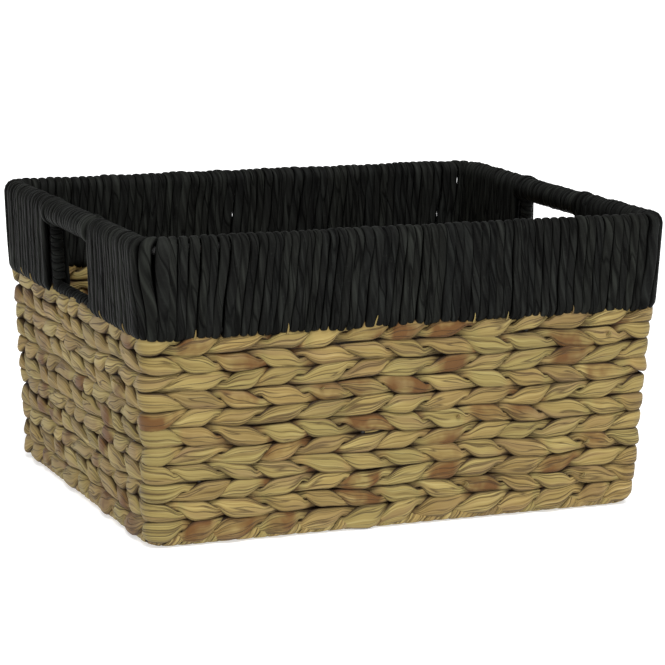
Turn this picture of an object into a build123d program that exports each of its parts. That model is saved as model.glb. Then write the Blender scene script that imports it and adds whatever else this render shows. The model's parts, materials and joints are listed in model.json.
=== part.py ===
from build123d import *
import os
from math import atan2, cos, degrees, hypot, pi

# Seagrass storage basket: a welded wire frame, eleven twined seagrass courses, a twined
# base, and a deep rim band of black paper cord with a wrapped hand hole at each end.
# The origin is the middle of the footprint on the floor. +X runs along the long side,
# -Y is the front and +Z is up. All sizes are in millimetres.

# The wall line is the middle of the wall's thickness, where the stakes stand.
base_length = 337.4
base_width = 269.6
total_height = 200.0
wall_lean = 10.0
foot_corner_radius = 12.0
body_corner_radius = 9.0
band_corner_radius = 10.0

# Steel wire frame.
rim_wire_diameter = 6.0
band_wire_diameter = 4.0
base_wire_diameter = 4.0
post_diameter = 4.0
stake_diameter = 3.0
upright_diameter = 4.0
weld_share = 0.75
long_side_bays = 12
short_side_bays = 10

# Seagrass weave.
wall_thickness = 12.5
course_size = 12.0
course_edge_radius = 3.0
base_row_size = 13.2
base_edge_radius = 3.5
stake_clearance = 0.1
foot_roll_thickness = 2.5
foot_roll_show = 5.0
weave_tuck = 4.0

# Black paper cord band and its hand holes.
band_height = 67.0
band_cord_thickness = 5.0
bare_wire_cord_thickness = 2.5
band_wire_drop = 2.5
hand_hole_width = 76.0

# Radii and heights that follow from the sizes above.
foot_roll_radius = base_wire_diameter / 2 + foot_roll_thickness
base_wire_z = foot_roll_radius
base_thickness = 2 * foot_roll_radius
band_radius = rim_wire_diameter / 2 + band_cord_thickness
rim_wire_z = total_height - band_radius
band_bottom_z = total_height - band_height
band_lower_z = band_bottom_z + band_radius
band_wire_z = band_lower_z - band_wire_drop
sill_radius = band_wire_diameter / 2 + bare_wire_cord_thickness
upright_wrap_radius = upright_diameter / 2 + bare_wire_cord_thickness
upright_y = hand_hole_width / 2 + upright_wrap_radius
band_end_y = upright_y + upright_wrap_radius
weave_top_z = band_bottom_z + weave_tuck
course_count = round((weave_top_z - foot_roll_show) / course_size)
course_height = (weave_top_z - foot_roll_show) / course_count
corner_inset = 1 - cos(pi / 4)


def lean_at(z):
    """Outward shift of the wall line at height z."""
    return wall_lean * z / rim_wire_z


def half_length(z):
    """Half the wall line's length at height z."""
    return base_length / 2 + lean_at(z)


def half_width(z):
    """Half the wall line's width at height z."""
    return base_width / 2 + lean_at(z)


def rim_corner_radius():
    """Corner radius of the wall line at the rim wire, about the band wire's corner centre."""
    return band_corner_radius + lean_at(rim_wire_z) - lean_at(band_wire_z)


def wall_outline(z, corner_radius, offset=0.0):
    """Flat face at height z, bounded by the wall line moved outwards by the offset."""
    length = 2 * (half_length(z) + offset)
    width = 2 * (half_width(z) + offset)
    return Pos(0, 0, z) * RectangleRounded(length, width, corner_radius + offset)


def quarter_run(profile, centre_x, centre_y, side_end_y):
    """A profile carried from the front's middle, round the front right corner, to side_end_y.

    The profile's X is the distance outwards from the corner's centre and its Y is the height.
    """
    corner = (centre_x, -centre_y, 0)
    front_face = Plane(origin=corner, x_dir=(0, -1, 0), z_dir=(-1, 0, 0)) * profile
    side_face = Plane(origin=corner, x_dir=(1, 0, 0), z_dir=(0, -1, 0)) * profile
    front = extrude(front_face, centre_x)
    turn = revolve(front_face, Axis(corner, (0, 0, 1)), 90)
    side = extrude(side_face, -(centre_y + side_end_y))
    return front + turn + side


def ring_rod(z, corner_radius, rod_radius):
    """Round rod bent along the wall line at height z."""
    section = Pos(corner_radius, z) * Circle(rod_radius)
    centre_x = half_length(z) - corner_radius
    centre_y = half_width(z) - corner_radius
    quarter = quarter_run(section, centre_x, centre_y, 0)
    half = quarter + mirror(quarter, Plane.YZ)
    return half + mirror(half, Plane.XZ)


def rod(start, end, radius, short_start=0.0, short_end=0.0):
    """Straight round rod between two points, stopping short of each end by its own amount."""
    line = Line(start, end)
    direction = line % 0
    section = Plane(origin=start + short_start * direction, z_dir=direction) * Circle(radius)
    return extrude(section, line.length - short_start - short_end)


def weld_gap(wire_diameter):
    """How far short of a ring wire's middle a welded rod stops, so that it bites into the wire."""
    return weld_share * wire_diameter / 2


def corner_point(z, corner_radius, side_x, side_y):
    """Middle of the wall line's corner at height z."""
    inset = corner_radius * corner_inset
    return Vector(side_x * (half_length(z) - inset), side_y * (half_width(z) - inset), z)


def bay_line(bay, bays, half_size, z, corner_radius):
    """Place of a stake along its side, from equal bays between the two corner posts."""
    reach = half_size(z) - corner_radius * corner_inset
    return reach * (2 * bay / bays - 1)


def stake_point(side, bay, z, corner_radius):
    """Point on a stake of one side at height z."""
    if side in ("front", "back"):
        x = bay_line(bay, long_side_bays, half_length, z, corner_radius)
        y = half_width(z)
        return Vector(x, -y if side == "front" else y, z)
    x = half_length(z)
    y = bay_line(bay, short_side_bays, half_width, z, corner_radius)
    return Vector(-x if side == "left" else x, y, z)


def bays_of(side):
    """Stake numbers of one side, without its corner posts."""
    return range(1, long_side_bays if side in ("front", "back") else short_side_bays)


def wire_rings():
    """Rim wire, band wire and base wire."""
    return {
        "rim_wire": ring_rod(rim_wire_z, rim_corner_radius(), rim_wire_diameter / 2),
        "band_wire": ring_rod(band_wire_z, band_corner_radius, band_wire_diameter / 2),
        "base_wire": ring_rod(base_wire_z, foot_corner_radius, base_wire_diameter / 2),
    }


def lower_stake(side, bay, clearance=0.0):
    """Stake between the base wire and the band wire."""
    start = stake_point(side, bay, base_wire_z, foot_corner_radius)
    end = stake_point(side, bay, band_wire_z, band_corner_radius)
    gap = weld_gap(base_wire_diameter), weld_gap(band_wire_diameter)
    return rod(start, end, stake_diameter / 2 + clearance, *gap)


def upper_strut(side, bay):
    """Strut inside the band, from the band wire to the rim wire, in line with a stake."""
    start = stake_point(side, bay, band_wire_z, band_corner_radius)
    end = stake_point(side, bay, rim_wire_z, rim_corner_radius())
    gap = weld_gap(band_wire_diameter), weld_gap(rim_wire_diameter)
    return rod(start, end, stake_diameter / 2, *gap)


def in_band(side, bay):
    """True where a strut stands inside the cord band, clear of the hand holes."""
    if side in ("front", "back"):
        return True
    at_wire = stake_point(side, bay, band_wire_z, band_corner_radius)
    return abs(at_wire.Y) > band_end_y + stake_diameter


def corner_rod(side_x, side_y, low, high, diameter, clearance=0.0):
    """Corner rod between two rings, each given as a height, a corner radius and a wire size."""
    start = corner_point(low[0], low[1], side_x, side_y)
    end = corner_point(high[0], high[1], side_x, side_y)
    return rod(start, end, diameter / 2 + clearance, weld_gap(low[2]), weld_gap(high[2]))


def upright(side_x, side_y, radius):
    """Round upright at one edge of a hand hole, from the band wire to the rim wire."""
    start = Vector(side_x * half_length(band_wire_z), side_y * upright_y, band_wire_z)
    end = Vector(side_x * half_length(rim_wire_z), side_y * upright_y, rim_wire_z)
    return rod(start, end, radius, weld_gap(band_wire_diameter), weld_gap(rim_wire_diameter))


def cross_wire(bay, clearance=0.0):
    """Base wire across the footprint, between a front stake and a back stake."""
    start = stake_point("front", bay, base_wire_z, foot_corner_radius)
    end = stake_point("back", bay, base_wire_z, foot_corner_radius)
    gap = weld_gap(base_wire_diameter)
    return rod(start, end, stake_diameter / 2 + clearance, gap, gap)


def hand_hole_roll(side_x, z, radius, overrun=0.0):
    """Cord wound along a hand hole's top or bottom wire, between the band's two ends."""
    reach = band_end_y + overrun
    start = Vector(side_x * half_length(z), -reach, z)
    end = Vector(side_x * half_length(z), reach, z)
    return rod(start, end, radius)


def course_blank(number):
    """One course: a rounded ring between the wall's two faces, before the stakes pass through."""
    bottom = foot_roll_show + number * course_height
    middle = bottom + course_height / 2
    outer = wall_outline(middle, body_corner_radius, wall_thickness / 2)
    inner = wall_outline(middle, body_corner_radius, -wall_thickness / 2)
    ring = extrude(Pos(0, 0, -course_height / 2) * (outer - inner), course_height)
    rims = ring.edges().group_by(Axis.Z)
    return fillet(rims[0] + rims[-1], course_edge_radius)


def base_plate():
    """Space inside the foot roll that the base rows fill."""
    outline = wall_outline(base_wire_z, foot_corner_radius, -foot_roll_radius)
    return extrude(Pos(0, 0, -base_wire_z) * outline, base_thickness)


def base_rows():
    """Twined rows of the base, side by side across the width."""
    span = 2 * (half_width(base_wire_z) - foot_roll_radius)
    count = round(span / base_row_size)
    width = span / count
    section = Plane.YZ * RectangleRounded(width, base_thickness, base_edge_radius)
    blank = extrude(section, half_length(base_wire_z), both=True)
    places = [(number + 0.5) * width - span / 2 for number in range(count)]
    return [(Pos(0, y, base_wire_z) * blank) & base_plate() for y in places]


def band_profile(low_z, radius):
    """Upright stadium on the leaning wall line, from low_z to the rim wire, about a band corner."""
    low = (band_corner_radius + lean_at(low_z) - lean_at(band_wire_z), low_z)
    high = (rim_corner_radius(), rim_wire_z)
    across, up = high[0] - low[0], high[1] - low[1]
    slot = SlotCenterToCenter(hypot(across, up), 2 * radius, rotation=degrees(atan2(up, across)))
    return Pos((low[0] + high[0]) / 2, (low[1] + high[1]) / 2) * slot


def band_half(low_z, radius):
    """U of the band round the front of the basket, from one hand hole to the other."""
    centre_x = half_length(band_wire_z) - band_corner_radius
    centre_y = half_width(band_wire_z) - band_corner_radius
    quarter = quarter_run(band_profile(low_z, radius), centre_x, centre_y, -band_end_y)
    return quarter + mirror(quarter, Plane.YZ)


def cut(blank, *tools):
    """The blank with each tool, or list of tools, cut out of it in turn."""
    for tool in tools:
        blank = blank - tool
    return blank


def wire_frame(rings):
    """Posts, stakes, struts, base wires and hand hole uprights, each welded end to a ring."""
    rim_wire, band_wire, base_wire = rings["rim_wire"], rings["band_wire"], rings["base_wire"]
    nodes = {}
    struts = []
    for face, side_y in faces.items():
        for end, side_x in ends.items():
            post = corner_rod(side_x, side_y, foot_level, band_level, post_diameter)
            nodes[f"{face}_{end}_post"] = cut(post, base_wire, band_wire)
            strut = corner_rod(side_x, side_y, band_level, rim_level, stake_diameter)
            struts.append(cut(strut, band_wire, rim_wire))
            wire = upright(side_x, side_y, upright_diameter / 2)
            nodes[f"{end}_{face}_upright"] = cut(wire, band_wire, rim_wire)
    for side in (*faces, *ends):
        stakes = [cut(lower_stake(side, bay), base_wire, band_wire) for bay in bays_of(side)]
        nodes[f"{side}_stakes"] = Compound(stakes)
        inside = [bay for bay in bays_of(side) if in_band(side, bay)]
        struts += [cut(upper_strut(side, bay), band_wire, rim_wire) for bay in inside]
    nodes["band_struts"] = Compound(struts)
    crossing = [cut(cross_wire(bay), base_wire) for bay in bays_of("front")]
    nodes["base_cross_wires"] = Compound(crossing)
    return nodes


def standing_holes():
    """Clearance rods for every post and stake, which the cord and the weave are cut by."""
    holes = []
    for side_x in ends.values():
        for side_y in faces.values():
            reach = (side_x, side_y, foot_level, band_level, post_diameter)
            holes.append(corner_rod(*reach, stake_clearance))
    for side in (*faces, *ends):
        holes += [lower_stake(side, bay, stake_clearance) for bay in bays_of(side)]
    return holes


def base_weave(foot_roll, base_wire, holes):
    """Foot roll round the base wire, and the rows of the base on their cross wires."""
    crossing = [cross_wire(bay, stake_clearance) for bay in bays_of("front")]
    nodes = {"foot_roll": cut(foot_roll, base_wire, holes, crossing)}
    for number, row in enumerate(base_rows(), start=1):
        nodes[f"base_row_{number:02d}"] = cut(row, crossing)
    return nodes


def hand_hole(end, side_x, rings, holes):
    """Cord on the grip, on the sill and on the two uprights of one hand hole."""
    grip = hand_hole_roll(side_x, rim_wire_z, band_radius)
    sill = hand_hole_roll(side_x, band_wire_z, sill_radius)
    wires = [upright(side_x, side_y, upright_diameter / 2) for side_y in faces.values()]
    nodes = {
        f"{end}_grip_wrap": cut(grip, rings["rim_wire"], wires),
        f"{end}_sill_wrap": cut(sill, rings["band_wire"], wires, holes),
    }
    past_end = upright_wrap_radius
    above = hand_hole_roll(side_x, rim_wire_z, band_radius, past_end)
    below = hand_hole_roll(side_x, band_wire_z, sill_radius, past_end)
    for (face, side_y), wire in zip(faces.items(), wires):
        wrap = upright(side_x, side_y, upright_wrap_radius)
        nodes[f"{end}_{face}_upright_wrap"] = cut(wrap, above, below, wire)
    return nodes


def courses(foot_roll, bands, holes):
    """Twined courses from the foot up. The first sits on the base, the last under the band."""
    nodes = {}
    for number in range(course_count):
        course = course_blank(number)
        if number == 0:
            course = cut(course, foot_roll, base_plate())
        if number == course_count - 1:
            sills = [hand_hole_roll(side_x, band_wire_z, sill_radius) for side_x in ends.values()]
            course = cut(course, *bands, *sills)
        nodes[f"course_{number + 1:02d}"] = cut(course, holes)
    return nodes


def build():
    """Every piece of the basket, by node name."""
    rings = wire_rings()
    holes = standing_holes()
    foot_roll = ring_rod(base_wire_z, foot_corner_radius, foot_roll_radius)
    front_band = band_half(band_lower_z, band_radius)
    front_hollow = band_half(band_wire_z, rim_wire_diameter / 2)
    bands = [front_band, mirror(front_band, Plane.XZ)]
    hollows = [front_hollow, mirror(front_hollow, Plane.XZ)]
    nodes = rings | wire_frame(rings) | base_weave(foot_roll, rings["base_wire"], holes)
    for face, band, hollow in zip(faces, bands, hollows):
        nodes[f"{face}_band"] = cut(band, hollow, holes)
    for end, side_x in ends.items():
        nodes |= hand_hole(end, side_x, rings, holes)
    return nodes | courses(foot_roll, bands, holes)


faces = {"front": -1, "back": 1}
ends = {"left": -1, "right": 1}
foot_level = (base_wire_z, foot_corner_radius, base_wire_diameter)
band_level = (band_wire_z, band_corner_radius, band_wire_diameter)
rim_level = (rim_wire_z, rim_corner_radius(), rim_wire_diameter)

os.makedirs("parts", exist_ok=True)
for name, shape in build().items():
    export_step(shape, f"parts/{name}.step")
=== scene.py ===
import bpy
import json
import numpy as np
from mathutils import Matrix, Vector


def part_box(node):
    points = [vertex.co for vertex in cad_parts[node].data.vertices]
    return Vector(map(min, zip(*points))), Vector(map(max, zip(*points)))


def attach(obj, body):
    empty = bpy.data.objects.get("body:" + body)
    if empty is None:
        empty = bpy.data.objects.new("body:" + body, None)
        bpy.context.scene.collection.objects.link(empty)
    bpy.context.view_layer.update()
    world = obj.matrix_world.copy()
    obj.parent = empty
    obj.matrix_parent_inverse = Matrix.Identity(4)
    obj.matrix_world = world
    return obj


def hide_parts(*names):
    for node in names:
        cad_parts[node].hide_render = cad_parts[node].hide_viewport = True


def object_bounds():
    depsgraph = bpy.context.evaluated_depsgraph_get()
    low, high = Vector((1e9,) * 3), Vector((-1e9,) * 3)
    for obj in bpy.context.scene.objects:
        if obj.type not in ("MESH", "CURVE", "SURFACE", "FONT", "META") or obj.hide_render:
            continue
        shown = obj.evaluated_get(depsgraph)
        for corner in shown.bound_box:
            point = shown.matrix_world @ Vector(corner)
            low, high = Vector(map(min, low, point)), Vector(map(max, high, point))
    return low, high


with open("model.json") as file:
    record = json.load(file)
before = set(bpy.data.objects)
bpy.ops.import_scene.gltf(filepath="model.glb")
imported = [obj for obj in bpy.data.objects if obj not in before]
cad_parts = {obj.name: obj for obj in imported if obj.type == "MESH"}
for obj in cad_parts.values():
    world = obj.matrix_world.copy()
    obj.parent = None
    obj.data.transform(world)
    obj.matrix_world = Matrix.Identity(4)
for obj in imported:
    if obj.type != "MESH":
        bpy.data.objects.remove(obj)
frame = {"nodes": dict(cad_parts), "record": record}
cad_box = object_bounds()
nodes = frame["nodes"]

# The stage: a wide white floor that glows faintly, an even white room and one broad soft lamp
# high above the front. The camera looks down a little on the front left corner.
scene = bpy.context.scene
scene.view_settings.view_transform = "Standard"

mm = 0.001
floor_size = 80.0
floor_drop = 0.5 * mm
floor_white = (0.76, 0.76, 0.76, 1)
floor_glow = 0.58
bpy.ops.mesh.primitive_plane_add(size=floor_size, location=(0, 0, cad_box[0][2] - floor_drop))
floor = bpy.context.object
floor.name = "studio_floor"
floor_paint = bpy.data.materials.new("studio_white")
floor_paint.use_nodes = True
floor_shader = floor_paint.node_tree.nodes["Principled BSDF"]
floor_shader.inputs["Base Color"].default_value = floor_white
floor_shader.inputs["Roughness"].default_value = 0.9
floor_shader.inputs["Specular IOR Level"].default_value = 0.1
floor_shader.inputs["Emission Color"].default_value = (1, 1, 1, 1)
floor_shader.inputs["Emission Strength"].default_value = floor_glow
floor.data.materials.append(floor_paint)

room_strength = 0.45
room = bpy.data.worlds.new("white_room")
room.use_nodes = True
room_light = room.node_tree.nodes["Background"]
room_light.inputs["Color"].default_value = (1, 1, 1, 1)
room_light.inputs["Strength"].default_value = room_strength
scene.world = room

lamp_strength = 3.0
lamp_breadth = np.radians(34)
lamp_direction = Vector((0.06, 0.52, -0.86))
lamp_data = bpy.data.lights.new("soft_lamp", "SUN")
lamp_data.energy = lamp_strength
lamp_data.angle = lamp_breadth
lamp = bpy.data.objects.new("soft_lamp", lamp_data)
lamp.rotation_euler = lamp_direction.to_track_quat("-Z", "Y").to_euler()
scene.collection.objects.link(lamp)

camera_azimuth = np.radians(-22.83)
camera_elevation = np.radians(10.79)
camera_roll = np.radians(0.69)
camera_distance = 1.87
camera_aim = Vector((0.0, -0.019, 0.107))
camera_lens = 147.4
camera_sensor = 36.0

camera_data = bpy.data.cameras.new("camera")
camera_data.lens = camera_lens
camera_data.sensor_width = camera_sensor
camera = bpy.data.objects.new("camera", camera_data)
scene.collection.objects.link(camera)
away = Vector((
    np.sin(camera_azimuth) * np.cos(camera_elevation),
    -np.cos(camera_azimuth) * np.cos(camera_elevation),
    np.sin(camera_elevation),
))
level = Vector((0, 0, 1)).cross(away).normalized()
upright = away.cross(level)
right = np.cos(camera_roll) * level + np.sin(camera_roll) * upright
up = -np.sin(camera_roll) * level + np.cos(camera_roll) * upright
camera_turn = Matrix((right, up, away)).transposed().to_4x4()
camera.matrix_world = Matrix.Translation(camera_aim + camera_distance * away) @ camera_turn
scene.camera = camera

# The frame: bent and butt-welded steel wire, dipped in black lacquer. The weave and the cord
# cover nearly all of it, so these pieces keep their own shapes.


def fill_socket(tree, socket, value):
    """Link another node's output to a socket, or set the socket's own constant value."""
    if isinstance(value, bpy.types.NodeSocket):
        tree.links.new(value, socket)
    else:
        socket.default_value = value


def shader_node(tree, kind, settings=None, **inputs):
    """A new shader node with its settings made and its inputs linked or set."""
    made = tree.nodes.new(kind)
    for key, value in (settings or {}).items():
        setattr(made, key, value)
    for key, value in inputs.items():
        fill_socket(tree, made.inputs[key], value)
    return made


def color_steps(tree, factor, steps):
    """Colour ramp through (position, colour) steps."""
    ramp = shader_node(tree, "ShaderNodeValToRGB", Fac=factor)
    elements = ramp.color_ramp.elements
    while len(elements) < len(steps):
        elements.new(0.5)
    for element, (position, color) in zip(elements, steps):
        element.position = position
        element.color = (*color, 1)
    return ramp.outputs["Color"]


def blend_color(tree, factor, first, second, mode="MIX"):
    """Mix of two colours by a factor. The node keeps its colours in inputs 6 and 7, output 2."""
    mix = shader_node(tree, "ShaderNodeMix", {"data_type": "RGBA", "blend_type": mode})
    for socket, value in ((mix.inputs[0], factor), (mix.inputs[6], first), (mix.inputs[7], second)):
        fill_socket(tree, socket, value)
    return mix.outputs[2]


def calculate(tree, operation, first, second=0.0, clamp=False):
    """One sum, product or other simple operation on two numbers."""
    math = shader_node(tree, "ShaderNodeMath", {"operation": operation, "use_clamp": clamp})
    for socket, value in zip(math.inputs, (first, second)):
        fill_socket(tree, socket, value)
    return math.outputs[0]


def add_relief(tree, shader, height, depth, strength):
    """Fine relief on a finish: a height that its nodes work out, times a depth."""
    bump = shader_node(tree, "ShaderNodeBump", Height=height, Distance=depth, Strength=strength)
    tree.links.new(bump.outputs["Normal"], shader.inputs["Normal"])


def new_material(name, roughness, specular, sheen=0.0):
    """Material with its shader's constant values set on the shader's own sockets."""
    material = bpy.data.materials.new(name)
    material.use_nodes = True
    shader = material.node_tree.nodes["Principled BSDF"]
    shader.inputs["Roughness"].default_value = roughness
    shader.inputs["Specular IOR Level"].default_value = specular
    shader.inputs["Sheen Weight"].default_value = sheen
    shader.inputs["Sheen Roughness"].default_value = 0.6
    return material, material.node_tree, shader


def lacquered_wire():
    """Black lacquer on drawn wire: a faint mottle and rubbed brown specks."""
    material, tree, shader = new_material("lacquered_wire", roughness=0.4, specular=0.4)
    place = shader_node(tree, "ShaderNodeTexCoord").outputs["Object"]
    mottle = shader_node(tree, "ShaderNodeTexNoise", Vector=place, Scale=220.0, Detail=3.0)
    lacquer = color_steps(tree, mottle.outputs["Fac"], (
        (0.35, (0.012, 0.012, 0.013)),
        (0.60, (0.030, 0.029, 0.028)),
        (0.80, (0.060, 0.040, 0.028)),
    ))
    tree.links.new(lacquer, shader.inputs["Base Color"])
    add_relief(tree, shader, mottle.outputs["Fac"], depth=0.2 * mm, strength=1.0)
    return material


wire_finish = lacquered_wire()
for entry in frame["record"]["subparts"]:
    if entry["material_slot"] == "frame_wire":
        for wire_slot in nodes[entry["node"]].material_slots:
            wire_slot.material = wire_finish

# The courses: eleven rounds of dried seagrass, each a pair of strands twined about the stakes.
# Neighbouring rounds are twined opposite ways, so that their leaves meet in rows of arrows.
floor_level = 0.0
wall_half_thickness = 6.25 * mm
post_bays = (12, 10)


def node_box(name):
    """Low and high corner of a CAD node's box."""
    return (np.array(corner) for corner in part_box(name))


def tubes_object(name, tubes, material):
    """One mesh of several tubes, each a grid of points: a closed section carried along a path.

    A tube is a dict with points (rings, sides, 3), closed, u (rings + 1), v (sides + 1) and
    values, a dict of (rings, sides) arrays that become point attributes. An open tube has a
    flat face at each end, every face points outwards, and no point lies below the floor.
    """
    points, corners, uvs, end_faces = [], [], [], []
    values = {key: [] for key in tubes[0]["values"]}
    first = 0
    for tube in tubes:
        grid = tube["points"]
        grid[..., 2] = np.maximum(grid[..., 2], floor_level)
        rings, sides = grid.shape[:2]
        i = np.arange(rings if tube["closed"] else rings - 1)[:, None]
        j = np.arange(sides)[None, :]
        square = [(i, j), (i + 1, j), (i + 1, j + 1), (i, j + 1)]
        along = grid[1] - grid[0]
        out = grid[0] - grid[0].mean(0)
        side = np.roll(grid[0], -1, 0) - grid[0]
        turned = np.einsum("ij,ij->", np.cross(along, side), out) < 0
        if turned:
            square = square[::-1]
        quads = [first + (a % rings) * sides + b % sides for a, b in square]
        corners.append(np.stack(quads, -1).reshape(-1))
        places = [np.broadcast_arrays(tube["u"][a], tube["v"][b]) for a, b in square]
        uvs.append(np.stack([np.stack(pair, -1) for pair in places], 2).reshape(-1, 2))
        if not tube["closed"]:
            near_end = first + np.arange(sides)
            far_end = near_end + (rings - 1) * sides
            end_faces.append(near_end[::-1] if turned else near_end)
            end_faces.append(far_end if turned else far_end[::-1])
        points.append(grid.reshape(-1, 3))
        for key in values:
            values[key].append(tube["values"][key].reshape(-1))
        first += rings * sides
    quad_count = sum(map(len, corners)) // 4
    face_sizes = np.array([4] * quad_count + [len(face) for face in end_faces])
    all_corners = np.concatenate(corners + end_faces).astype(np.int32)
    all_uvs = np.concatenate(uvs + [np.zeros((len(face), 2)) for face in end_faces])
    mesh = bpy.data.meshes.new(name)
    mesh.vertices.add(first)
    mesh.vertices.foreach_set("co", np.concatenate(points).astype(np.float32).reshape(-1))
    mesh.loops.add(len(all_corners))
    mesh.loops.foreach_set("vertex_index", all_corners)
    mesh.polygons.add(len(face_sizes))
    loop_starts = (np.cumsum(face_sizes) - face_sizes).astype(np.int32)
    mesh.polygons.foreach_set("loop_start", loop_starts)
    mesh.update(calc_edges=True)
    mesh.polygons.foreach_set("use_smooth", np.ones(len(face_sizes), bool))
    layer = mesh.uv_layers.new(name="strand")
    layer.data.foreach_set("uv", all_uvs.astype(np.float32).reshape(-1))
    for key, parts in values.items():
        attribute = mesh.attributes.new(key, "FLOAT", "POINT")
        attribute.data.foreach_set("value", np.concatenate(parts).astype(np.float32))
    mesh.materials.append(material)
    made = bpy.data.objects.new(name, mesh)
    scene.collection.objects.link(made)
    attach(made, "root")
    return made


def wall_breaks(half_x, half_y, radius):
    """Distances at which the straights and corners of a rounded rectangle begin and end."""
    run_x, run_y, bend = half_x - radius, half_y - radius, radius * np.pi / 2
    return np.cumsum([0, run_x, bend, 2 * run_y, bend, 2 * run_x, bend, 2 * run_y, bend, run_x])


def wall_route(s, half_x, half_y, radius):
    """Points and outward directions at distances s round a rounded rectangle.

    The route starts at the front's middle and runs towards +X. Its corner centre and its
    outward angle are both straight-line functions of the distance.
    """
    breaks = wall_breaks(half_x, half_y, radius)
    centre_x = np.interp(s, breaks, (half_x - radius) * np.array([0, 1, 1, 1, 1, -1, -1, -1, -1, 0]))
    centre_y = np.interp(s, breaks, (half_y - radius) * np.array([-1, -1, -1, 1, 1, 1, 1, -1, -1, -1]))
    angle = np.interp(s, breaks, np.array([0, 0, 1, 1, 2, 2, 3, 3, 4, 4]) * np.pi / 2) - np.pi / 2
    outward = np.stack([np.cos(angle), np.sin(angle), 0 * angle], -1)
    return np.stack([centre_x, centre_y, 0 * s], -1) + radius * outward, outward


def stake_distances(breaks):
    """Distances of every post and stake round the wall, starting at the front's middle."""
    posts = [(breaks[k] + breaks[k + 1]) / 2 for k in (1, 3, 5, 7)]
    ends = [0, *posts, breaks[-1]]
    long_bays, short_bays = post_bays
    bays = (long_bays // 2, short_bays, long_bays, short_bays, long_bays // 2)
    marks = [np.linspace(a, b, count + 1)[1:] for a, b, count in zip(ends, ends[1:], bays)]
    return np.concatenate([[0], *marks])


def per_leaf(chance, phase, leaves, low, high):
    """A value drawn for each half turn, held over its face and eased over to the next.

    The ease is a smooth step, three squares less two cubes, over the middle of the half turn.
    """
    drawn = chance.uniform(low, high, leaves)
    turn = phase / np.pi
    left = np.floor(turn).astype(int)
    ease = np.clip((turn - left - leaf_hold) / (1 - 2 * leaf_hold), 0, 1)
    ease = ease * ease * (3 - 2 * ease)
    return drawn[left % leaves] * (1 - ease) + drawn[(left + 1) % leaves] * ease


def squared_circle(angle, power):
    """Cosine and sine pushed towards a square: a superellipse of the given power."""
    cosine, sine = np.cos(angle), np.sin(angle)
    bow = 2 / power
    return np.sign(cosine) * np.abs(cosine) ** bow, np.sign(sine) * np.abs(sine) ** bow


def twined_strand(
        chance, route, outward, across, phase, slant, sizes, shift, leaves, closed,
        calm=0.0, sides=26):
    """One strand of a twined pair, as a tube of flattened, creased sections.

    With its turn at 0 the strand is in front of a stake and at pi behind the next, and it
    stands out from the wall by a hyperbolic tangent of the turn's cosine. It is as high as the
    course over a stake, and between two stakes it narrows to a waist by a power of the cosine,
    a lower power in front than behind. At the waist it keeps to the top on its way in and to
    the bottom on its way out, or the reverse for a slant of -1. A calm stretch has a wider
    waist and is thicker, but stands out less. Each section is a squared-off ellipse, with
    lengthwise creases that are powers of a sine round it.
    """
    half_height, half_thickness, sway = sizes
    slip, wide, lift, proud, hug, roll = (
        per_leaf(chance, phase, leaves, low, high) for low, high in leaf_ranges.values())
    turn = phase + shift + slip
    taper = 1.45 - 0.6 * np.tanh(3 * np.cos(turn))
    waist = leaf_waist + calm_waist * calm
    share = waist + (1 - waist) * np.sqrt(np.cos(turn) ** 2 + 0.006) ** taper
    height = half_height * share * wide
    middle = slant * hug * (half_height - half_height * share) * np.tanh(2.5 * np.sin(turn))
    middle = middle + lift * half_height
    stand = sway * (1 - calm_press * calm) * np.tanh(leaf_flatness * np.cos(turn - leaf_lag))
    stand = stand / np.tanh(leaf_flatness) + proud * half_thickness
    thick = half_thickness * (0.97 + 0.03 * np.cos(2 * turn)) + calm_fill * sway * calm

    angle = (np.arange(sides) / sides + 0.25) * 2 * np.pi
    creases = np.zeros((len(phase), sides))
    for _ in range(crease_count):
        turned = per_leaf(chance, phase, leaves, 0, 2 * np.pi)
        ridges = chance.integers(3, 8)
        fold = np.abs(np.sin(0.5 * (ridges * angle[None, :] + turned[:, None])))
        creases += chance.uniform(0.5, 1.0) * (fold ** 0.7 - 0.66)
    creases *= crease_depth
    round_out, round_up = squared_circle(angle, leaf_squareness)
    climb = height[:, None] * round_up[None, :] * (1 + 0.3 * creases)
    reach = stand[:, None] + thick[:, None] * round_out[None, :] * (1 + creases) + roll[:, None] * climb
    climb = middle[:, None] + climb
    points = route[:, None, :] + outward[:, None, :] * reach[..., None]
    points = points + across[:, None, :] * climb[..., None]

    tone = per_leaf(chance, phase, leaves, 0, 1)
    brown = np.clip(per_leaf(chance, phase, leaves, *brown_range), 0, 1)

    # The surface lies deep where the strands hide one another, at the edges and in the creases, and is
    # painted darker there as shade.
    hidden = np.clip((half_thickness - np.abs(reach)) / half_thickness, 0, 1)
    edge = np.clip((0.84 - np.abs(round_out)) / 0.3, 0, 1)[None, :]
    values = {
        "tone": np.repeat(tone[:, None], sides, 1),
        "brown": np.repeat(brown[:, None], sides, 1),
        "crevice_shade": np.clip(0.9 * hidden + 0.9 * edge - 2.0 * creases, 0, 1),
    }
    steps = np.linalg.norm(np.diff(route, axis=0), axis=1)
    run = np.concatenate([[0], np.cumsum(steps)])
    u = np.concatenate([run, [run[-1] + steps[-1]]]) + chance.uniform(0, noise_span)
    v = np.linspace(0, 2 * (half_height + half_thickness), sides + 1)
    return {"points": points, "closed": closed, "u": u, "v": v, "values": values}


def drawn_out_noise(tree, place, along, across, detail):
    """Noise stretched along a strand, with its own scale along it and across it."""
    scaled = shader_node(tree, "ShaderNodeMapping", Vector=place, Scale=(along, across, 1))
    noise = shader_node(
        tree, "ShaderNodeTexNoise", Vector=scaled.outputs["Vector"], Scale=1.0, Detail=detail)
    return noise.outputs["Fac"]


def point_value(tree, name):
    """A tube's own point attribute."""
    return shader_node(tree, "ShaderNodeAttribute", {"attribute_name": name}).outputs["Fac"]


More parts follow.
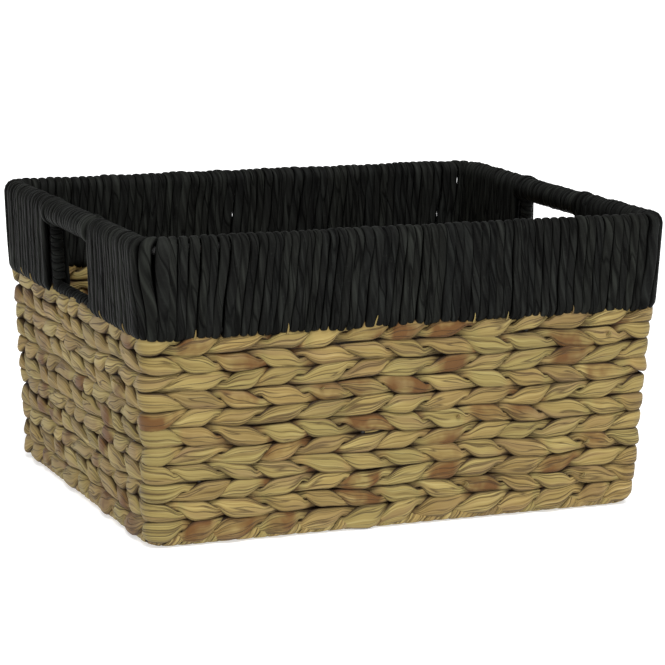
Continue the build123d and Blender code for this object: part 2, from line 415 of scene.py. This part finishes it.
def patches(tree, noise, level, gain):
    """Patches where a noise is over a level: the part over it, times a gain."""
    over = calculate(tree, "SUBTRACT", noise, level, True)
    return calculate(tree, "MULTIPLY", over, gain, True)


def thin_lines(tree, noise, sharpness):
    """Lines where a noise passes its middle: one less a sharpness times the way from it."""
    from_line = calculate(tree, "ABSOLUTE", calculate(tree, "SUBTRACT", noise, 0.5))
    return calculate(tree, "SUBTRACT", 1.0, calculate(tree, "MULTIPLY", from_line, sharpness), True)


def dried_seagrass():
    """Dry seagrass: straw to khaki, streaked along the fibres, with brown and pink stains.

    The streaks are noise drawn out along the strand's own UV map. The leaf attributes carry
    each leaf's tone, its brown stain and how deep the surface lies in the weave, which is
    painted as shade in dark brown.
    """
    pink, brown = (0.22, 0.140, 0.062, 1), (0.130, 0.058, 0.014, 1)
    # The fibre lines' colour, and a dark brown that paints shade where the surface lies deep.
    fibre_line, painted_shade_brown = (0.060, 0.032, 0.012, 1), (0.034, 0.016, 0.008, 1)
    material, tree, shader = new_material(
        "dried_seagrass", roughness=0.62, specular=0.2, sheen=0.03)
    strand = shader_node(tree, "ShaderNodeUVMap", {"uv_map": "strand"}).outputs["UV"]
    fibres = drawn_out_noise(tree, strand, along=18, across=1500, detail=3.0)
    bands = drawn_out_noise(tree, strand, along=14, across=260, detail=2.0)
    folds = drawn_out_noise(tree, strand, along=11, across=430, detail=2.0)
    blotches = drawn_out_noise(tree, strand, along=45, across=120, detail=3.0)
    straw = color_steps(tree, fibres, (
        (0.28, (0.085, 0.053, 0.017)),
        (0.42, (0.232, 0.170, 0.056)),
        (0.58, (0.300, 0.230, 0.082)),
        (0.76, (0.415, 0.335, 0.145)),
    ))
    leaf_tint = color_steps(tree, point_value(tree, "tone"), (
        (0.0, (0.80, 0.74, 0.72)),
        (0.3, (1.06, 0.97, 0.92)),
        (0.6, (0.95, 0.98, 0.92)),
        (1.0, (1.18, 1.14, 1.10)),
    ))
    tinted = blend_color(tree, 1.0, straw, leaf_tint, "MULTIPLY")
    pinked = blend_color(tree, patches(tree, bands, level=0.5, gain=3.2), tinted, pink)
    blotched = calculate(tree, "SUBTRACT", blotches, 0.36, True)
    stain = calculate(tree, "MULTIPLY", point_value(tree, "brown"), blotched)
    stained = blend_color(tree, calculate(tree, "MULTIPLY", stain, 6.5, True), pinked, brown)
    lines = thin_lines(tree, folds, sharpness=42.0)
    lined = blend_color(tree, calculate(tree, "MULTIPLY", lines, 0.75), stained, fibre_line)
    # Painted shade: where the surface lies deep in the weave it is darkened towards dark brown.
    deep = calculate(tree, "POWER", point_value(tree, "crevice_shade"), 1.3, True)
    shaded = blend_color(tree, calculate(tree, "MULTIPLY", deep, 0.94), lined, painted_shade_brown)
    tree.links.new(shaded, shader.inputs["Base Color"])
    relief = calculate(tree, "ADD", fibres, calculate(tree, "MULTIPLY", bands, 1.4))
    add_relief(tree, shader, calculate(tree, "SUBTRACT", relief, lines), depth=0.7 * mm, strength=0.9)
    return material


def loose_end(chance, root, outward, along, rise, width, reach, lean):
    """A short loose fibre: a flat blade that starts wide, curls outward and ends in a point.

    Its width falls as the square root of what is left of it. It climbs by the given rise and
    leans along the wall by the square of its share, while it stands off by the reach times one
    minus the square of what is left.
    """
    share = np.linspace(0, 1, 9)
    angle = np.arange(8) / 8 * 2 * np.pi
    up = np.array([0.0, 0.0, 1.0])
    stand_off = (1 - (1 - share) ** 2) * reach
    spine = root + share[:, None] * rise * up + stand_off[:, None] * outward
    spine = spine + share[:, None] ** 2 * lean * along
    half_width = 0.5 * width * np.sqrt(1.02 - share)
    half_blade = np.minimum(half_width, 0.25 * width)
    points = spine[:, None, :] + (half_width[:, None] * np.cos(angle))[..., None] * along
    points = points + (half_blade[:, None] * np.sin(angle))[..., None] * outward
    shape = points.shape[:2]
    values = {
        "tone": np.full(shape, chance.uniform(0.6, 1.0)),
        "brown": np.full(shape, chance.uniform(0.0, 0.3)),
        "crevice_shade": np.zeros(shape),
    }
    u = np.linspace(0, abs(rise), len(share) + 1) + chance.uniform(0, noise_span)
    v = np.linspace(0, 2 * width, len(angle) + 1)
    return {"points": points, "closed": False, "u": u, "v": v, "values": values}


def loose_ends(chance, route, outward, places, standing, shape):
    """Loose fibres on one course, each where the route is nearest to its x and y.

    A place is x, y and the climb above the route's middle, in millimetres, and a size.
    """
    rise, width, reach = shape
    ends = []
    for x, y, climb, scale in places:
        nearest = np.argmin(np.hypot(route[:, 0] - x * mm, route[:, 1] - y * mm))
        out = outward[nearest]
        root = route[nearest] + standing * out + np.array([0, 0, climb * mm])
        along = np.array([-out[1], out[0], 0.0])
        lean = chance.uniform(-1.2, 1.2) * mm
        ends.append(loose_end(
            chance, root, out, along, scale * rise, scale * width, scale * reach, lean))
    return ends


def course_waves(place, perimeter, number):
    """Slow rise and fall of a course: three sines round the wall that drift from one to the next."""
    turn = 2 * np.pi * place / perimeter
    waves = np.sin(7 * turn + 0.25 * number) + np.sin(12 * turn - 0.4 * number)
    waves = waves + np.sin(19 * turn + 0.5 * number)
    return wave_height * waves


def stake_wander(place, perimeter, number):
    """Small slips of a course along the wall, as an angle: two sines, most at the short sides."""
    turn = 2 * np.pi * place / perimeter
    short_side = 0.5 - 0.5 * np.cos(2 * turn)
    slips = np.sin(9 * turn + 2.1 * number) + np.sin(16 * turn - 1.3 * number)
    slips = (0.12 + 0.28 * short_side) * slips
    return slips + 0.55 * short_side ** 2 * np.sin(2.4 * number + 1)


def twined_course(course_name, number):
    """The two strands of one course and the loose fibres on it.

    The route starts at the back's middle. The turn grows by pi from one stake to the next, and
    the strands are half a turn apart. The calm is greatest in the middle of the short sides.
    """
    low, high = node_box(course_name)
    half_x, half_y = high[0] - wall_half_thickness, high[1] - wall_half_thickness
    breaks = wall_breaks(half_x, half_y, body_corner)
    perimeter = breaks[-1]
    count = int(perimeter / strand_step)
    distance = perimeter * (0.5 + np.arange(count) / count)
    rounds, place = np.divmod(distance, perimeter)
    sizes, rise = end_courses.get(number, (course_sizes, 0.0))
    route, outward = wall_route(place, half_x, half_y, body_corner)
    route[:, 2] = low[2] + course_pitch / 2 + course_waves(place, perimeter, number)
    route[:, 2] += rise
    marks = stake_distances(breaks)
    bays = len(marks) - 1
    phase = np.pi * (np.interp(place, marks, np.arange(bays + 1)) + bays * rounds)
    phase = phase + stake_wander(place, perimeter, number)
    across = np.tile([0.0, 0.0, 1.0], (count, 1))
    calm = most_calm * (0.5 - 0.5 * np.cos(4 * np.pi * place / perimeter)) ** 2
    slant = 1 if number % 2 == 0 else -1
    chance = np.random.default_rng(100 + number)
    strands = [
        twined_strand(chance, route, outward, across, phase, slant, sizes, shift, bays, True, calm)
        for shift in (0.0, np.pi)
    ]
    if number == top_course:
        strands += loose_ends(chance, route, outward, tip_places, tip_standing, fibre_tip)
    stubs = stub_places.get(number, ())
    return strands + loose_ends(chance, route, outward, stubs, stub_standing, cut_stub)


seagrass_finish = dried_seagrass()
noise_span = 50.0
strand_step = 2.0 * mm
leaf_hold = 0.25
leaf_lag = 0.08
leaf_waist = 0.45
leaf_flatness = 1.3
leaf_squareness = 3.0
crease_count = 5
crease_depth = 0.045
brown_range = (-2.2, 1.0)

# What each leaf draws for itself: its slip along the wall as an angle, its width, its lift in
# half heights, its stand in half thicknesses, its hug of the course's edge and its roll.
leaf_ranges = {
    "slip": (-0.34, 0.34),
    "wide": (0.90, 1.08),
    "lift": (-0.10, 0.10),
    "proud": (-0.12, 0.10),
    "hug": (0.84, 1.0),
    "roll": (-0.20, 0.20),
}

# How calm the middle of a short side is, and what full calm adds to the waist, takes from the
# standing out, and adds to the thickness.
most_calm = 0.65
calm_waist = 0.12
calm_press = 0.55
calm_fill = 0.5

# A course's sizes are its strands' half height and half thickness and how far they stand out.
# The foot course and the top course have their own sizes and a small shift in height.
body_corner = 5.0 * mm
wave_height = 0.55 * mm
course_names = sorted(name for name in nodes if name.startswith("course_"))
first_low, first_high = node_box(course_names[0])
course_pitch = first_high[2] - first_low[2]
top_course = len(course_names) - 1
course_sizes = (6.6 * mm, 3.8 * mm, 2.1 * mm)
end_courses = {
    0: ((7.8 * mm, 3.8 * mm, 2.3 * mm), -1.0 * mm),
    top_course: ((7.2 * mm, 3.8 * mm, 2.4 * mm), 0.7 * mm),
}

# Loose fibres, by rise, width and reach: tips of the last strands, and stubs where one was cut.
fibre_tip = (7.5 * mm, 1.7 * mm, 3.4 * mm)
tip_standing = 5.6 * mm
tip_places = (
    (-147.5, -150, 3.0, 1.0), (-110, -150, 3.6, 0.8), (-85, -150, 3.0, 1.05), (-25.6, -150, 3.0, 1.0),
    (46, -150, 3.0, 0.95), (70, -150, 3.6, 0.8), (118, -150, 3.4, 0.85), (-180, -118, 3.0, 1.0),
    (-180, -70, 3.4, 0.85), (-180, 84, 3.0, 1.0), (-180, 108, 3.6, 0.8))
cut_stub = (3.6 * mm, 4.2 * mm, 4.4 * mm)
stub_standing = 4.2 * mm
stub_places = {
    1: ((132, -150, -1.0, 1.1), (45, -150, 0.0, 1.0)),
    3: ((132, -150, -2.0, 1.1), (-180, 60, 2.0, 1.0)),
    5: ((37, -150, -1.0, 1.0), (-180, -20, 2.0, 0.9)),
    7: ((-60, -150, 2.0, 0.7), (-180, -96, 2.0, 1.1)),
    9: ((145, -150, 0.0, 1.1), (-180, 20, 1.0, 1.1)),
}
for number, course_name in enumerate(course_names):
    strands = twined_course(course_name, number)
    course = tubes_object(f"seagrass_{course_name}", strands, seagrass_finish)
    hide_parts(course_name)

# The base: twenty rows of the same twined pair, side by side along the base, about the cross
# wires that join the front stakes to the back ones. Every row's underside is at floor level.
cross_low, cross_high = node_box("base_cross_wires")
base_bay = (cross_high[0] - cross_low[0]) / (post_bays[0] - 2)
row_fill = (1.02, 0.58, 0.40)


def twined_row(row_name, number):
    """A straight twined pair that fills one base row's box, its leaves facing down and up.

    Its half height, half thickness and sway are shares of the box's half width and depth.
    """
    low, high = node_box(row_name)
    middle = (low + high) / 2
    half_width, half_depth = (high[1] - low[1]) / 2, (high[2] - low[2]) / 2
    count = int((high[0] - low[0]) / strand_step)
    x = np.linspace(low[0], high[0], count)
    route = np.stack([x, np.full(count, middle[1]), np.full(count, middle[2])], -1)
    phase = np.pi * (x / base_bay + post_bays[0])
    down = np.tile([0.0, 0.0, -1.0], (count, 1))
    across = np.tile([0.0, 1.0, 0.0], (count, 1))
    sizes = (half_width * row_fill[0], half_depth * row_fill[1], half_depth * row_fill[2])
    chance = np.random.default_rng(300 + number)
    slant = 1 if number % 2 == 0 else -1
    leaves = 2 * post_bays[0]
    return [
        twined_strand(
            chance, route, down, across, phase, slant, sizes, shift, leaves, False, sides=18)
        for shift in (0.0, np.pi)
    ]


for number, row_name in enumerate(sorted(name for name in nodes if name.startswith("base_row_"))):
    row = tubes_object(f"seagrass_{row_name}", twined_row(row_name, number), seagrass_finish)
    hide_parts(row_name)

# The foot roll: one flat seagrass strand wound round the base wire, which finishes the edge
# where the base meets the walls.


def round_loop(radius):
    """Length of a round winding loop, and its place and facing at each distance along it.

    It starts underneath. The side goes from 0 at the outside to 1 at the inside.
    """
    def at(p):
        angle = p / radius - np.pi / 2
        side = 0.5 - 0.5 * np.cos(angle)
        return radius * np.cos(angle), radius * np.sin(angle), np.cos(angle), np.sin(angle), side
    return 2 * np.pi * radius, at


def climb_share(climb):
    """Share of a winding's full height at each point, from minus a half to a half."""
    low, high = climb.min(), climb.max()
    return (climb - (low + high) / 2) / (high - low)


def wound_cord(
        chance, marks, loop, frame_at, cord, lean, bend=None, swell=None,
        step=2.5 * mm, sides=16, wander=0.0, widest=6.7 * mm):
    """A flat cord wound round and round, as one long tube.

    The cord goes once round the loop from each mark to the next. Its section is a squared-off
    ellipse with two creases, bell curves that travel round it. It is as wide as the space
    between two marks but never wider than the widest, and one plus the bend times its distance
    out times that width. The lean shifts it along the winding by its height, by one amount
    outside and another inside, the wander adds two sines of its height, and the swell moves it
    outwards. A cord is its half thickness, fill of its space, crease depth, length of one twist
    and unevenness.
    """
    half_thickness, fill, deepest_crease, twist_length, unevenness = cord
    loop_length, loop_at = loop
    turns = len(marks) - 1
    per_turn = int(round(loop_length / step))
    wound = np.arange(turns * per_turn + 1) / per_turn
    sigma = np.interp(wound, np.arange(turns + 1), marks)
    space = np.interp(wound, np.arange(turns + 1), np.gradient(marks))
    out, climb, n_out, n_climb, side = loop_at((wound % 1.0) * loop_length)

    def per_turn_value(low, high):
        drawn = chance.uniform(low, high, turns + 1)
        return np.interp(wound - 0.25, np.arange(turns + 1), drawn)

    proud = per_turn_value(-unevenness, unevenness) * half_thickness
    wide = per_turn_value(1 - 0.3 * unevenness, 1 + 0.5 * unevenness)
    crease = np.clip(per_turn_value(-0.5, 1.0), 0, 1) * deepest_crease
    tone = per_turn_value(0, 1)
    lean_out, lean_in = lean(sigma)
    share = climb_share(climb)
    sway = np.sin(5.5 * share + sigma / (21 * mm)) + np.sin(9.0 * share - sigma / (13 * mm) + 2)
    sigma = sigma + share * ((1 - side) * lean_out + side * lean_in)
    sigma = sigma + wander * sway * (1 - np.abs(2 * share) ** 4)
    origin, outward, upward, along = frame_at(sigma)
    if swell is not None:
        proud = proud + swell(sigma)
    spread = 1.0
    if bend is not None:
        spread = np.clip(1 + bend(sigma) * (out + n_out * half_thickness), 0.55, 1.75)
    half_width = 0.5 * np.minimum(space, widest) * fill * wide * spread
    angle = (np.arange(sides) / sides + 0.5) * 2 * np.pi
    face, flank = squared_circle(angle, cord_squareness)
    distance = wound * loop_length
    twist = 2 * np.pi * distance / twist_length + per_turn_value(0, 2 * np.pi)

    def groove(centre, offset, breadth):
        gap = np.angle(np.exp(1j * (angle[None, :] - centre[:, None] - offset)))
        return np.exp(-(gap / breadth) ** 2)

    main_groove = groove(twist, 0.0, 0.34)
    section = 1 - crease[:, None] * (main_groove + 0.6 * groove(0.8 * twist, 2.4, 0.5))
    normal = n_out[:, None] * outward + n_climb[:, None] * upward
    centre = origin + (out + n_out * proud)[:, None] * outward + (climb + n_climb * proud)[:, None] * upward
    reach = half_thickness * face[None, :] * section
    width = half_width[:, None] * flank[None, :] * (0.35 + 0.65 * section)
    points = centre[:, None, :] + normal[:, None, :] * reach[..., None]
    points = points + along[:, None, :] * width[..., None]
    # Painted shade: the section's flanks and inner side, where neighbouring turns meet, and its twist
    # grooves are darkened.
    depth = np.clip((0.62 - face[None, :]) / 0.6, 0, 1)
    values = {
        "tone": np.repeat(tone[:, None], sides, 1),
        "brown": np.zeros_like(reach),
        "crevice_shade": np.clip(depth + 0.7 * main_groove * crease[:, None] / deepest_crease, 0, 1),
    }
    u = np.concatenate([distance, [distance[-1] + step]]) + chance.uniform(0, noise_span)
    v = np.linspace(0, 2 * (np.mean(half_width) + half_thickness), sides + 1)
    return {"points": points, "closed": False, "u": u, "v": v, "values": values}


def even_marks(chance, start, end, pitch, spread):
    """Places where each turn of a winding begins, at an uneven pitch."""
    count = int(round((end - start) / pitch))
    widths = chance.uniform(1 - spread, 1 + spread, count)
    return start + (end - start) * np.concatenate([[0], np.cumsum(widths)]) / widths.sum()


def ring_frame(z, half_x, half_y, radius):
    """Length of a wall ring, and places and directions along it, for a winding about it."""
    perimeter = wall_breaks(half_x, half_y, radius)[-1]

    def at(sigma):
        route, outward = wall_route(sigma % perimeter, half_x, half_y, radius)
        route[:, 2] = z
        upward = np.tile([0.0, 0.0, 1.0], (len(sigma), 1))
        return route, outward, upward, np.cross(upward, outward)
    return perimeter, at


def steady_lean(outside, inside):
    """The same lean all along a winding, outside and inside."""
    return lambda sigma: (np.full_like(sigma, outside), np.full_like(sigma, inside))


cord_squareness = 2.8
foot_low, foot_high = node_box("foot_roll")
foot_radius = (foot_high[2] - foot_low[2]) / 2
foot_corner = 12 * mm
foot_pitch = 10 * mm
foot_strand = (1.2 * mm, 1.0, 0.22, 31 * mm, 0.16)
foot_length, foot_at = ring_frame(
    foot_low[2] + foot_radius, foot_high[0] - foot_radius, foot_high[1] - foot_radius, foot_corner)
chance = np.random.default_rng(500)
foot_marks = even_marks(chance, 0, foot_length, foot_pitch, spread=0.2)
foot_tube = wound_cord(
    chance, foot_marks, round_loop(foot_radius - foot_strand[0]), foot_at, foot_strand,
    steady_lean(outside=2 * mm, inside=2 * mm), widest=12 * mm)
foot_roll = tubes_object("seagrass_foot_roll", [foot_tube], seagrass_finish)
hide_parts("foot_roll")

# The rim band: black paper cord, twisted from a strip and wound flat about the rim wire and
# the band wire, turn beside turn, from one hand hole round the front or the back to the other.


def black_paper_cord():
    """Dyed kraft paper cord: charcoal, with the strip's edges running slantwise over it."""
    dust = (0.034, 0.037, 0.033, 1)
    edge_black = (0.0015, 0.0015, 0.0015, 1)
    # A near black for painted shade where the cord lies deep.
    painted_shade_black = (0.0012, 0.0012, 0.0012, 1)
    twist_slant = 0.12
    material, tree, shader = new_material("black_paper_cord", roughness=0.5, specular=0.5)
    shader.inputs["IOR"].default_value = 1.08
    strand = shader_node(tree, "ShaderNodeUVMap", {"uv_map": "strand"}).outputs["UV"]
    apart = shader_node(tree, "ShaderNodeSeparateXYZ", Vector=strand)
    along = apart.outputs["X"]
    slanted = calculate(tree, "ADD", calculate(tree, "MULTIPLY", along, twist_slant), apart.outputs["Y"])
    place = shader_node(tree, "ShaderNodeCombineXYZ", X=along, Y=slanted).outputs["Vector"]
    folds = drawn_out_noise(tree, place, along=22, across=620, detail=3.0)
    edges = drawn_out_noise(tree, place, along=16, across=240, detail=1.0)
    grain = drawn_out_noise(tree, place, along=500, across=900, detail=3.0)
    base = color_steps(tree, folds, (
        (0.30, (0.0046, 0.0046, 0.0044)),
        (0.50, (0.0098, 0.0101, 0.0093)),
        (0.72, (0.0215, 0.0230, 0.0206)),
    ))
    turn_tint = color_steps(tree, point_value(tree, "tone"), (
        (0.0, (0.82, 0.83, 0.86)),
        (0.5, (1.0, 1.0, 1.0)),
        (1.0, (1.22, 1.24, 1.18)),
    ))
    tinted = blend_color(tree, 1.0, base, turn_tint, "MULTIPLY")
    dusty = blend_color(tree, patches(tree, grain, level=0.60, gain=1.6), tinted, dust)
    edge = thin_lines(tree, edges, sharpness=34.0)
    edged = blend_color(tree, calculate(tree, "MULTIPLY", edge, 0.7), dusty, edge_black)
    # Painted shade: the cord's flanks and twist grooves are darkened towards near black.
    crevice_shade = calculate(tree, "MULTIPLY", point_value(tree, "crevice_shade"), 0.75)
    tree.links.new(blend_color(tree, crevice_shade, edged, painted_shade_black), shader.inputs["Base Color"])
    relief = calculate(tree, "ADD", folds, calculate(tree, "MULTIPLY", grain, 0.25))
    relief = calculate(tree, "SUBTRACT", relief, calculate(tree, "MULTIPLY", edge, 0.8))
    add_relief(tree, shader, relief, depth=0.7 * mm, strength=0.9)
    return material


cord_finish = black_paper_cord()
rim_wire_radius, band_wire_radius = 3 * mm, 2 * mm
_, rim_high = node_box("rim_wire")
_, band_wire_high = node_box("band_wire")
band_low, band_high = node_box("front_band")
rim_z = rim_high[2] - rim_wire_radius
band_wire_z = band_wire_high[2] - band_wire_radius
line_x, line_y = band_wire_high[:2] - band_wire_radius
wall_slope = (rim_high[0] - rim_wire_radius - line_x) / (rim_z - band_wire_z)
band_radius = band_high[2] - rim_z
band_lower_z = band_low[2] + band_radius
band_end_y = abs(band_high[1])
band_corner = 6.5 * mm
band_cord = (2.3 * mm, 0.98, 0.055, 95 * mm, 0.26)
band_pitch = 5.9 * mm
band_wander = 0.30 * mm
corner_lead, corner_ease = 4 * mm, 6 * mm
corner_crowding = 0.45
band_perimeter, band_at = ring_frame(0.0, line_x, line_y, band_corner)
band_breaks = wall_breaks(line_x, line_y, band_corner)
band_reach = band_breaks[2] + (line_y - band_corner) - band_end_y


def tall_loop(radius, low, high, slope, level):
    """Length of a leaning stadium loop, and its place and facing at each distance along it.

    It starts under the lower wire and climbs the outer face. Its arc centre's height and its
    facing angle are both straight-line functions of the distance.
    """
    arc = radius * np.pi / 2
    breaks = np.cumsum([0, arc, high - low, 2 * arc, high - low, arc])

    def at(p):
        angle = np.radians(np.interp(p, breaks, [-90, 0, 0, 180, 180, 270]))
        centre = np.interp(p, breaks, [low, low, high, high, low, low])
        climb = centre + radius * np.sin(angle)
        out = radius * np.cos(angle) + slope * (climb - level)
        side = 0.5 - 0.5 * np.cos(angle)
        return out, climb, np.cos(angle), np.sin(angle), side
    return breaks[-1], at


def corner_share(sigma):
    """How far a place on the band is into a corner, from 0 on the straights to 1."""
    s = sigma % band_perimeter
    share = np.zeros_like(s)
    for first in (1, 3, 5, 7):
        middle = (band_breaks[first] + band_breaks[first + 1]) / 2
        half = (band_breaks[first + 1] - band_breaks[first]) / 2
        share = np.maximum(share, np.clip((half + corner_lead - np.abs(s - middle)) / corner_ease, 0, 1))
    return share


def band_bend(sigma):
    """Curvature of the band, eased into its corners."""
    return corner_share(sigma) / (band_corner + 2 * mm)


def band_marks(chance, start, end):
    """Where the turns of a band begin: an uneven pitch, closer together round the corners.

    The density of turns is added up along the band, and each turn takes its own share of the
    sum, about one in ten of them a larger one.
    """
    fine = np.linspace(start, end, 4000)
    density = (1 + corner_crowding * corner_share(fine)) / band_pitch
    filled = np.concatenate([[0], np.cumsum((density[1:] + density[:-1]) / 2 * np.diff(fine))])
    turns = int(round(filled[-1]))
    widths = chance.uniform(0.76, 1.16, turns) + (chance.random(turns) < 0.10) * 0.35
    wanted = np.concatenate([[0], np.cumsum(widths)]) / widths.sum() * filled[-1]
    return np.interp(wanted, filled, fine)


def band_lean(chance, start, end, outer_leans, inside):
    """Lean of a band's turns: outside from a few leans spread evenly along it, inside at random."""
    count = len(outer_leans)
    knots = np.linspace(start, end, count)
    outer_waves = (np.array(outer_leans) + chance.uniform(-0.8, 0.8, count)) * mm
    inner_waves = chance.uniform(-2.5, 2.5, count) * mm + inside

    def at(sigma):
        return np.interp(sigma, knots, outer_waves), np.interp(sigma, knots, inner_waves)
    return at


band_loop = tall_loop(band_radius - band_cord[0], band_lower_z, rim_z, wall_slope, band_wire_z)
for seed, face, middle, leans, inside in (
    (600, "front", 0.0, (0, -1, -6, -3, 3, 4, 2, 1, -2, -4, -2, 0, 1, 0, 0), 2 * mm),
    (601, "back", band_perimeter / 2, (0, 1, 3, 2, -2, -3, 0, 2, 3, 1, -2, -3, 0, 1, 0), -5 * mm),
):
    chance = np.random.default_rng(seed)
    marks = band_marks(chance, middle - band_reach, middle + band_reach)
    lean = band_lean(chance, marks[0], marks[-1], leans, inside)
    tube = wound_cord(
        chance, marks, band_loop, band_at, band_cord, lean, band_bend, wander=band_wander)
    band = tubes_object(f"cord_{face}_band", [tube], cord_finish)
    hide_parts(f"{face}_band")

# The hand holes: the same cord, wound thick on the rim wire for a grip and thin on the band
# wire and on the two uprights.


def straight_frame(start, end, outward):
    """Length of a straight wire, and places and directions along it, for a winding about it."""
    start, end, outward = (np.array(v, float) for v in (start, end, outward))
    along = (end - start) / np.linalg.norm(end - start)
    outward = outward - along * outward.dot(along)
    outward = outward / np.linalg.norm(outward)
    upward = np.cross(outward, along)

    def at(sigma):
        ones = np.ones((len(sigma), 1))
        return start + sigma[:, None] * along, ones * outward, ones * upward, ones * along
    return np.linalg.norm(end - start), at


def wrapped_wire(place, start, end, side_x, radius, cord, pitch, seed, knuckle=0.0):
    """Cord wound along a straight wire, standing for one CAD wrap.

    A knuckle makes the winding thicker by a bell curve of that height near each end, and a
    little thinner between them.
    """
    length, at = straight_frame(start, end, (side_x, 0, 0))

    def swell(sigma):
        from_end = np.minimum(sigma, length - sigma)
        return knuckle * (np.exp(-((from_end - knuckle_place) / knuckle_breadth) ** 2) - 0.3)

    chance = np.random.default_rng(seed)
    marks = even_marks(chance, 0, length, pitch, spread=0.15)
    tube = wound_cord(
        chance, marks, round_loop(radius - cord[0]), at, cord,
        steady_lean(outside=1.5 * mm, inside=-1 * mm), swell=swell, step=2 * mm, sides=14)
    wrap = tubes_object(f"cord_{place}", [tube], cord_finish)
    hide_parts(f"{place}_wrap")


grip_cord = (2.2 * mm, 1.0, 0.18, 28 * mm, 0.16)
thin_cord = (1.3 * mm, 1.0, 0.16, 24 * mm, 0.14)
grip_pitch, sill_pitch, upright_pitch = 5.4 * mm, 6.0 * mm, 5.6 * mm
grip_sag = 1.2 * mm
grip_z = rim_z - grip_sag
grip_knuckle, knuckle_place, knuckle_breadth = 1.5 * mm, 3 * mm, 4.5 * mm
over_sill, under_grip = 3 * mm, 5 * mm
for end_name, side_x, seed in (("left", -1, 700), ("right", 1, 710)):
    sill_low, sill_high = node_box(f"{end_name}_sill_wrap")
    sill_radius = (sill_high[2] - sill_low[2]) / 2
    sill_x = (sill_low[0] + sill_high[0]) / 2
    grip_low, grip_high = node_box(f"{end_name}_grip_wrap")
    grip_x = (grip_low[0] + grip_high[0]) / 2
    wrapped_wire(
        f"{end_name}_grip", (grip_x, grip_low[1], grip_z), (grip_x, grip_high[1], grip_z), side_x,
        band_radius + grip_sag, grip_cord, grip_pitch, seed, grip_knuckle)
    wrapped_wire(
        f"{end_name}_sill", (sill_x, sill_low[1], band_wire_z), (sill_x, sill_high[1], band_wire_z),
        side_x, sill_radius, thin_cord, sill_pitch, seed + 1)
    foot_x = sill_x + side_x * wall_slope * over_sill
    head_x = grip_x - side_x * wall_slope * under_grip
    for face_number, face in enumerate(("front", "back")):
        upright_name = f"{end_name}_{face}_upright"
        wrap_low, wrap_high = node_box(f"{upright_name}_wrap")
        wrap_y = (wrap_low[1] + wrap_high[1]) / 2
        wrapped_wire(
            upright_name, (foot_x, wrap_y, band_wire_z + over_sill),
            (head_x, wrap_y, rim_z - under_grip), side_x,
            (wrap_high[1] - wrap_low[1]) / 2, thin_cord, upright_pitch, seed + 2 + face_number)
